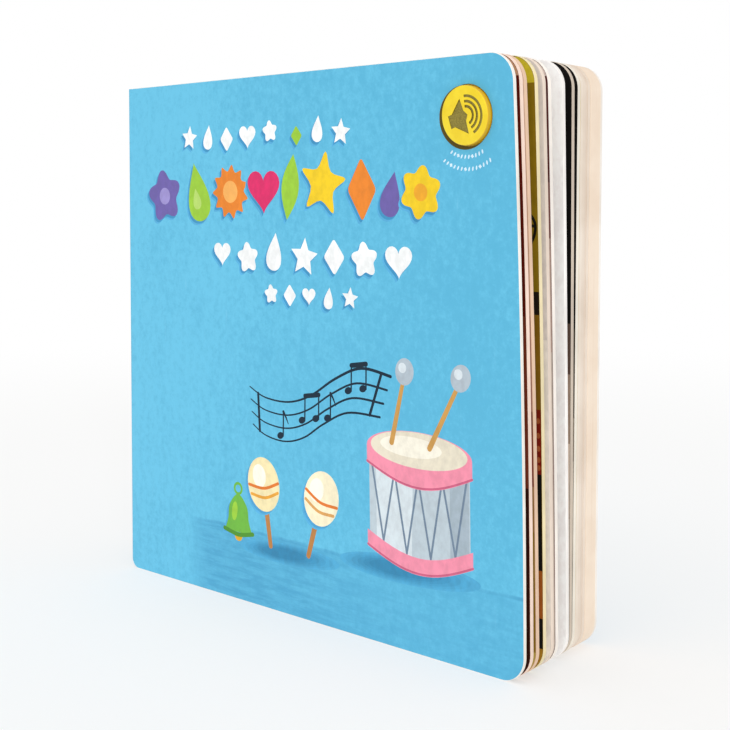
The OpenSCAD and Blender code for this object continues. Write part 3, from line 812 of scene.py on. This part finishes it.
def fore_band(low, high, start, slant=4):
    """Field of a leaf from start to just inside its fore edge, between two heights."""
    corner = [CORNER_R * (1 - math.cos(math.pi * i / 20)) for i in range(11)]
    heights = corner + [BOOK_H - z for z in corner[::-1]]
    edge = []
    for z in [low] + [z for z in heights if low < z < high] + [high]:
        beyond = max(0, CORNER_R - min(z, BOOK_H - z))
        reach = math.sqrt((CORNER_R - PRINT_MARGIN) ** 2 - beyond ** 2)
        edge.append((BOOK_W - SPINE_T - CORNER_R + reach, z))
    return [(start, low)] + edge + [(start + slant, high)]


def first_page_print():
    """Dark red page with a guitar in a pale disc."""
    p = Picture(ink("5C0F07"))
    for code, low, high in (("C9A184", 183, 189.4), ("74301F", 60, 112), ("2E0A08", 0.8, 60)):
        p.add(ink(code), fore_band(low, high, 0.8, 0))
    p.add(ink("F4D9A8"), circle(88, 98, 52, 64))
    p.add(ink("F9E8C8"), circle(88, 98, 45, 64))
    p.add(ink("C98A3A"), rounded([(70, 50), (106, 50), (114, 76), (104, 96), (110, 116), (100, 130),
                                  (76, 130), (66, 116), (72, 96), (62, 76)], 9))
    p.add(ink("6B3A16"), circle(88, 96, 9, 36))
    p.line("4B2A12", [(88, 66), (88, 160)], 5.0)
    for k in (-1.5, -0.5, 0.5, 1.5):
        p.line("F4E6C6", [(88 + k, 68), (88 + k, 160)], 0.35)
    for u, z in ((30, 150), (40, 60), (150, 150), (146, 56)):
        note(p, u, z, 5, "F3C53B", True)
    return p


def page_print(ground, bands=()):
    """A page seen only at its fore edge: fields of colour from one height to another."""
    p = Picture(ink(ground))
    for code, low, high in bands:
        p.add(ink(code), fore_band(low, high, 150))
    return p


# The first field is painted light: the page's top, lit where light comes in past the cover's
# rounded corner
THIRD_PAGE = (("CDBA2A", 181.5, 189.4), ("1A0F04", 112, 119), ("86600C", 83, 112),
              ("7E1604", 63, 83), ("0C0A06", 33, 63), ("A55A1C", 18, 33), ("0C0A06", 8.5, 18),
              ("A87A1E", 0.8, 8.5))


def third_page_print():
    """Olive page with the strokes and blocks of colour that show at its fore edge, a painted
    highlight at its top and painted shade below.
    """
    # Painted shade: the olive ground is darker than the lit top field, as the gap between the
    # leaves is in shade
    p = page_print("8A6E0A", THIRD_PAGE)
    p.line("0C0A06", smooth([(183.6, 142.4), (185.8, 142), (187.3, 139.4), (186.9, 136),
                             (184.8, 132.4)]), 1.0)
    p.line("0C0A06", [(183.6, 139.2), (186.8, 138.8)], 0.9)
    for z in (79.5, 75, 71, 67.5, 65):
        p.add(ink("A8582E"), circle(187.2, z, 0.7, 12, 1.3))
    return p


def last_page_print(ground, other):
    """Page with suns and notes over a hill in the other colour."""
    p = Picture(ink(ground))
    p.add(ink(other), [(2.4, 3), (178, 3), (186, 11)]
          + smooth([(186, 40), (130, 52), (80, 38), (30, 56), (2.4, 44)]))
    for u, z, r in ((40, 150, 12), (96, 160, 8), (150, 146, 14), (60, 104, 9), (126, 98, 10)):
        p.add(ink("F8D21C"), star(u, z, r, 11, 0.78, 84, True))
        p.add(ink("FBE58C"), circle(u, z, r * 0.5))
    for u, z in ((70, 128), (110, 122), (158, 108), (28, 112)):
        note(p, u, z, 4.5, "FBFBF7", True)
    return p


def back_print(ground):
    """Outside of the back cover: shapes and notes above a white panel around the unit."""
    p = Picture(ground)
    u0, z0 = UNIT
    half_u, half_z = UNIT_SIZE[0] / 2 + 7, UNIT_SIZE[1] / 2 + 7
    p.add(ink("F4F6F4"), rounded([(u0 - half_u, z0 - half_z), (u0 + half_u, z0 - half_z),
                                  (u0 + half_u, z0 + half_z), (u0 - half_u, z0 + half_z)], 7))
    for i, (code, outline) in enumerate((
            ("6D60A6", petals(40, 150, 9, 5, 0.15, 100)), ("9BCB3C", drop(66, 153, 8.5, 10)),
            ("E7842B", star(92, 149, 10, 11, 0.76, 84, True)), ("DD2C69", heart(118, 147, 8.5)),
            ("F0CB20", star(144, 151, 10, 5, 0.52, 82, True)))):
        p.cast(ink(code), outline)
        note(p, 40 + 26 * i, 122 + 2 * (i % 3), 3.4, NAVY, i % 2 == 0)
    return p


# ----------------------------------------------------------------- building

blue = brushed_blue("print_blue", floor=True)
blue_plain = brushed_blue("print_blue_plain", floor=False)
white_edge = board_edge("edge_white", "F6F1EA", "EAE2D8", "DCCDBC")

cover_place = fanned((0, 0), *COVER_OPENING)
button_ring = circle(*BUTTON, BUTTON_R + FIT_GAP, 64)
flange_ring = circle(*BUTTON, FLANGE_R, 64)
# Painted shade: the walls of the button's hole and of the flange's hollow are dark, as the gap
# around the button is in shade
gap_shade = ink("2A2410")
cover = board("cover_front", cover_place,
              board_outline(CREASE, BOOK_W, SPINE_CORNER_R), 0, COVER_T,
              cover_print(blue), lining_print(), white_edge, [button_ring],
              [(button_ring, FLANGE_V[0], gap_shade), (flange_ring, FLANGE_V[0], gap_shade),
               (flange_ring, FLANGE_V[1], gap_shade)])
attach(cover, "front_cover")
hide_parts("front_cover")

# Colour of the cut edge and print of each leaf
LEAVES = (
    ("F3D9C9", first_page_print()),
    ("E4C3A8", page_print("CFA488", [("B98470", 83, 112), ("84361F", 60, 83), ("A47A46", 46, 60),
                                     ("957420", 8.5, 46), ("BCA450", 0.8, 8.5)])),
    ("EBDDB2", third_page_print()),
    ("E6D6C6", page_print("E2D8CF", [("F1E8DC", 0.8, 104)])),
    ("F6EFE6", page_print("5E2A2A", [("E3D0C6", 184, 189.4), ("8F5F58", 135, 152),
                                     ("CDB2A6", 100, 135), ("D9CBBF", 0.8, 100)])),
    ("F7F3EF", page_print("FDFAFA")),
    ("CDBFAF", page_print("040202", [("5E4A40", 92, 108), ("A8917F", 70, 92),
                                     ("D8C6B6", 46, 70), ("EADDD0", 0.8, 46)])),
    ("EFE7DA", page_print("060403", [("4E4538", 78, 106), ("9E917F", 64, 78),
                                     ("E2D5C4", 0.8, 64)])),
)
for i, (edge, front) in enumerate(LEAVES):
    place = fanned((SPINE_T, BLOCK_Y + LEAF_T * i), COVER_OPENING[0] * LEAF_FOOT[i],
                   COVER_OPENING[1] * LEAF_HEAD[i])
    last = i == len(LEAVES) - 1
    behind = last_page_print("2E7F9E", "246A86") if last else page_print("E8DFD2")
    leaf = board(f"leaf_{i + 1}", place, board_outline(LEAF_START, BOOK_W - SPINE_T),
                 LEAF_GAP, LEAF_T - LEAF_GAP, front, behind,
                 board_edge(f"edge_leaf_{i + 1}", shade(edge, 1.02), shade(edge, 0.96),
                            shade(edge, 0.86)), pitch=14.0)
    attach(leaf, "book_block")
    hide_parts("page_block")

liner = board("liner_page", flat, board_outline(SECTION_X, BOOK_W), *LINER,
              last_page_print("E9C46A", "D9A441"), page_print("E8DFD2"),
              board_edge("edge_liner", "EFE3D5", "E4D5C5"), pitch=20.0)
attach(liner, "back_section")
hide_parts("liner_board")

half_w, half_h = UNIT_SIZE[0] / 2 + FIT_GAP, UNIT_SIZE[1] / 2 + FIT_GAP
window = [(UNIT[0] - half_w, UNIT[1] - half_h), (UNIT[0] + half_w, UNIT[1] - half_h),
          (UNIT[0] + half_w, UNIT[1] + half_h), (UNIT[0] - half_w, UNIT[1] + half_h)]
back = board("cover_back", flat, board_outline(CREASE, BOOK_W), *BACK_COVER,
             page_print("E8DFD2"), back_print(blue_plain), white_edge, [window], pitch=20.0)
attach(back, "back_section")
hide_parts("back_cover")


def spine_section(y0):
    """Spine board with its printed wrap, cut across, starting at depth y0."""
    y1 = BACK_COVER[1]
    # The board lies within the wrap and stays clear of both covers
    board_y0, board_y1 = max(BLOCK_Y + 0.05, y0 + 0.02), BACK_COVER[0] - 0.2
    wrap = [(CREASE * (1 - math.sin(a)), y0 + CREASE * (1 - math.cos(a)))
            for a in (math.pi * i / 12 for i in range(7))]
    wrap += [(x, y1 + y0 - y) for x, y in wrap[::-1]]
    skin = CREASE - 0.02
    return wrap + [(skin, y1 - 0.1), (skin, board_y1), (SPINE_T, board_y1), (SPINE_T, board_y0),
                   (skin, board_y0), (skin, y0 + 0.01)]


def make_spine():
    """Spine board and wrap, stacked from cross sections that follow the worn foot corner."""
    points, faces = [], []
    # Heights of the sections, close together at the worn corner
    levels = [0.02, 0.2, 0.5, 0.9, 1.4, 2.0, 2.7, 3.5, 50, 100, 150, BOOK_H - 0.02]
    for z in levels:
        points += [flat(x, y, z) for x, y in spine_section(spine_cut(z))]
    count = len(spine_section(0))
    for i in range(len(levels) - 1):
        for j in range(count):
            k = (j + 1) % count
            faces.append([i * count + k, i * count + j, (i + 1) * count + j, (i + 1) * count + k])
    faces.append(list(range(count)))
    faces.append([(len(levels) - 1) * count + j for j in range(count)][::-1])
    return build_mesh("spine", points, faces, [blue_plain] * len(faces))


spine = make_spine()
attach(spine, "book_block")
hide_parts("spine_board")


# -------------------------------------------------- materials of CAD nodes


def button_yellow():
    """Yellow plastic, darker in the engraved sign, with painted shade on its outer side wall."""
    s = Shader("button_yellow", roughness=0.38, specular=0.45)
    # Axis and top of the button, and how deep a point lies below the crowned top
    angle = math.radians(opening(BUTTON[1], *COVER_OPENING))
    twist = math.radians(opening(BUTTON[1] + 1, *COVER_OPENING)
                         - opening(BUTTON[1] - 1, *COVER_OPENING)) / 2
    lean = math.atan(BUTTON[0] * twist)
    axis = (Matrix.Rotation(-angle, 3, "Z") @ Matrix.Rotation(lean, 3, "X")) @ Vector((0, 1, 0))
    top = cover_place(BUTTON[0], 0, BUTTON[1]) - axis * (BUTTON_RISE + BUTTON_CROWN) * MM
    depth = s.math("SUBTRACT", s.dot(s.place, axis), top.dot(axis))
    offset = s.tree.nodes.new("ShaderNodeVectorMath")
    offset.operation = "DISTANCE"
    s.link(s.place, offset.inputs[0])
    offset.inputs[1].default_value = top
    away = offset.outputs["Value"]
    near = s.range(away, SIGN_FIELD[0] * MM, SIGN_FIELD[1] * MM)
    dome = s.math("MULTIPLY", s.math("MULTIPLY", away, away),
                  BUTTON_CROWN * MM / (CROWN_R * MM) ** 2)
    texture_normal = s.tree.nodes.new("ShaderNodeTexCoord").outputs["Normal"]
    facing = s.math("ABSOLUTE", s.dot(texture_normal, axis))
    floor = s.math("MULTIPLY", near, s.range(s.math("SUBTRACT", depth, dome), 0.00003, 0.00005))
    upright = s.range(facing, 0.75, 0.5)
    grain = s.noise(2400, detail=3)
    cloud = s.noise(160, detail=3)
    base = s.mix(s.range(cloud, 0.35, 0.65), "ECCD17", "F3D824")
    olive = s.mix(s.range(grain, 0.35, 0.65), "77691F", "938430")
    base = s.mix(floor, base, olive)
    # Painted shade: the outer side wall is a deeper orange than the top; walls inside the sign take
    # the sign's dark olive
    base = s.mix(upright, base, s.mix(near, "F2B615", "6B5400"))
    s.colour(base)
    s.roughness(grain, 0.34, 0.46)
    s.bump(grain, 0.00002)
    return s.material


edge_beige = board_edge("edge_beige", "EBDDCE", "DFCFBE", "CDB9A4")
white_plastic = patterned("white_plastic", "E9E9E6", "F4F4F1", 1800, rough=(0.42, 0.55),
                          bump=0.00003)
steel = patterned("steel", "9FA3A6", "C4C7C9", 900, (1, 6, 1), (0.25, 0.4), metallic=1.0)
FINISHES = {
    "button_cap": button_yellow(),
    "snap_dome": steel,
    "window_board_1": edge_beige,
    "window_board_2": board_edge("edge_ply", "E6D6C6", "DCCAB8", "C6B19B"),
    "window_board_3": edge_beige,
    "core_board": board_edge("edge_core", "F4E3D0", "EDD9C4", "E4CDB4"),
    "unit_case": white_plastic,
    "unit_lid": white_plastic,
    "battery_door": white_plastic,
    "battery_screw": steel,
    "case_screws": steel,
    "battery_cell_1": patterned("cell_steel", "B4B7B8", "D3D5D6", 700, (1, 5, 1), (0.2, 0.34),
                                metallic=1.0),
    "bay_contacts": patterned("contact_brass", "B08C3E", "CFAE5C", 800, rough=(0.28, 0.42),
                              metallic=1.0),
    "speaker_frame": patterned("speaker_steel", "6E7275", "8C9093", 600, rough=(0.35, 0.5),
                               metallic=1.0),
    "speaker_cone": patterned("cone_paper", "141414", "242322", 1500, rough=(0.75, 0.9),
                              bump=0.00006),
    "speaker_magnet": patterned("magnet_black", "2B2C2E", "414346", 500, rough=(0.4, 0.6),
                                metallic=0.6),
    "circuit_board": patterned("circuit_green", "14532D", "1E6B3B", 700, rough=(0.3, 0.45)),
    "sound_chip": patterned("chip_resin", "0C0C0D", "1B1B1C", 900, rough=(0.25, 0.4)),
    "capacitor": patterned("capacitor_sleeve", "1A2350", "27336B", 800, rough=(0.3, 0.45)),
    "film_connector": patterned("connector_nylon", "E4DCC6", "F1EBDA", 1100, rough=(0.45, 0.6)),
    "switch_body": patterned("switch_black", "121213", "202022", 1100, rough=(0.4, 0.6)),
    "switch_knob": patterned("knob_white", "E2E3E1", "F2F2F0", 1500, rough=(0.35, 0.5)),
    "speaker_leads": patterned("lead_red", "A01B18", "C52A24", 900, rough=(0.35, 0.5)),
    "battery_leads": patterned("lead_black", "101011", "232324", 900, rough=(0.35, 0.5)),
    "cover_film": patterned("film_amber", "A9642A", "C27C3B", 600, rough=(0.25, 0.4)),
}
SAME_AS = {"battery_cell_2": "battery_cell_1", "battery_cell_3": "battery_cell_1",
           "door_contacts": "bay_contacts", "spine_film": "cover_film",
           "unit_film": "cover_film"}
for name, thing in nodes.items():
    material = FINISHES.get(SAME_AS.get(name, name))
    if material:
        thing.data.materials.clear()
        thing.data.materials.append(material)


# --------------------------------------------------- camera, floor, light


CAMERA_PLACE = (0.288289, -0.373971, 0.146381)
CAMERA_ANGLES = (37.646, 3.07, 0.086)  # degrees: left of +Y, down, and rolled anticlockwise
LENS = 63.70
SHIFT = (0.00814, -0.1302)
FLOOR_HALF = 12
FLOOR_DROP = 0.00005
SUNS = (  # name, direction towards the light, strength, width in degrees
    ("key", (-0.35, -0.8, 0.6), 0.2, 50),
    ("top", (0.1, -0.25, 1.0), 0.65, 70),
    ("side", (0.66, -0.72, 0.36), 1.02, 22),
)
WORLD_FILL, WORLD_SHEEN, WORLD_SEEN = 0.64, 0.5, 1.0


def add_camera():
    """Camera that sees the book as the photo does."""
    yaw, pitch, roll = (math.radians(a) for a in CAMERA_ANGLES)
    forward = Vector((-math.sin(yaw) * math.cos(pitch), math.cos(yaw) * math.cos(pitch),
                      -math.sin(pitch)))
    right = Vector((math.cos(yaw), math.sin(yaw), 0))
    up = right.cross(forward)
    across = math.cos(roll) * right + math.sin(roll) * up
    above = -math.sin(roll) * right + math.cos(roll) * up
    camera = bpy.data.objects.new("camera", bpy.data.cameras.new("camera"))
    turn = Matrix((across, above, -forward)).transposed().to_4x4()
    camera.matrix_world = Matrix.Translation(CAMERA_PLACE) @ turn
    camera.data.sensor_width = 36
    camera.data.lens = LENS
    camera.data.shift_x, camera.data.shift_y = SHIFT
    camera.data.clip_start = 0.01
    camera.data.clip_end = 50
    bpy.context.scene.collection.objects.link(camera)
    bpy.context.scene.camera = camera


def add_floor():
    """Pale floor that keeps the book's shadow and fades into the white background."""
    mesh = bpy.data.meshes.new("floor")
    size = FLOOR_HALF
    mesh.from_pydata([(-size, -size, 0), (size, -size, 0), (size, size, 0), (-size, size, 0)], [],
                     [(0, 1, 2, 3)])
    s = Shader("floor", roughness=0.9, specular=0.0)
    s.colour("F6F6F5")
    glow = s.tree.nodes.new("ShaderNodeEmission")
    glow.inputs["Color"].default_value = (1, 1, 1, 1)
    x, y, _ = s.axes(s.place)
    far = s.math("SQRT", s.math("ADD", s.math("MULTIPLY", x, x), s.math("MULTIPLY", y, y)))
    blend = s.tree.nodes.new("ShaderNodeMixShader")
    s.link(s.range(far, 0.3, 0.9, 0.5, 1.0), blend.inputs[0])
    s.tree.links.new(s.surface.outputs[0], blend.inputs[1])
    s.tree.links.new(glow.outputs[0], blend.inputs[2])
    s.tree.links.new(blend.outputs[0], s.tree.nodes["Material Output"].inputs["Surface"])
    mesh.materials.append(s.material)
    floor = bpy.data.objects.new("floor", mesh)
    floor.location.z = -FLOOR_DROP
    bpy.context.scene.collection.objects.link(floor)


def add_light():
    """Three wide suns, and a world that is white to the camera and dimmer to everything else."""
    for name, direction, strength, spread in SUNS:
        sun = bpy.data.objects.new(name, bpy.data.lights.new(name, "SUN"))
        sun.data.energy = strength
        sun.data.angle = math.radians(spread)
        sun.rotation_euler = Vector(direction).to_track_quat("Z", "Y").to_euler()
        bpy.context.scene.collection.objects.link(sun)
    world = bpy.data.worlds.new("studio")
    bpy.context.scene.world = world
    world.use_nodes = True
    tree = world.node_tree
    tree.nodes.clear()
    output = tree.nodes.new("ShaderNodeOutputWorld")
    path = tree.nodes.new("ShaderNodeLightPath")
    levels = []
    for strength in (WORLD_FILL, WORLD_SHEEN, WORLD_SEEN):
        background = tree.nodes.new("ShaderNodeBackground")
        background.inputs["Color"].default_value = (1, 1, 1, 1)
        background.inputs["Strength"].default_value = strength
        levels.append(background)
    shiny = tree.nodes.new("ShaderNodeMixShader")
    seen = tree.nodes.new("ShaderNodeMixShader")
    tree.links.new(path.outputs["Is Glossy Ray"], shiny.inputs[0])
    tree.links.new(levels[0].outputs[0], shiny.inputs[1])
    tree.links.new(levels[1].outputs[0], shiny.inputs[2])
    tree.links.new(path.outputs["Is Camera Ray"], seen.inputs[0])
    tree.links.new(shiny.outputs[0], seen.inputs[1])
    tree.links.new(levels[2].outputs[0], seen.inputs[2])
    tree.links.new(seen.outputs[0], output.inputs["Surface"])


add_camera()
add_floor()
add_light()
bpy.context.scene.view_settings.view_transform = "Standard"
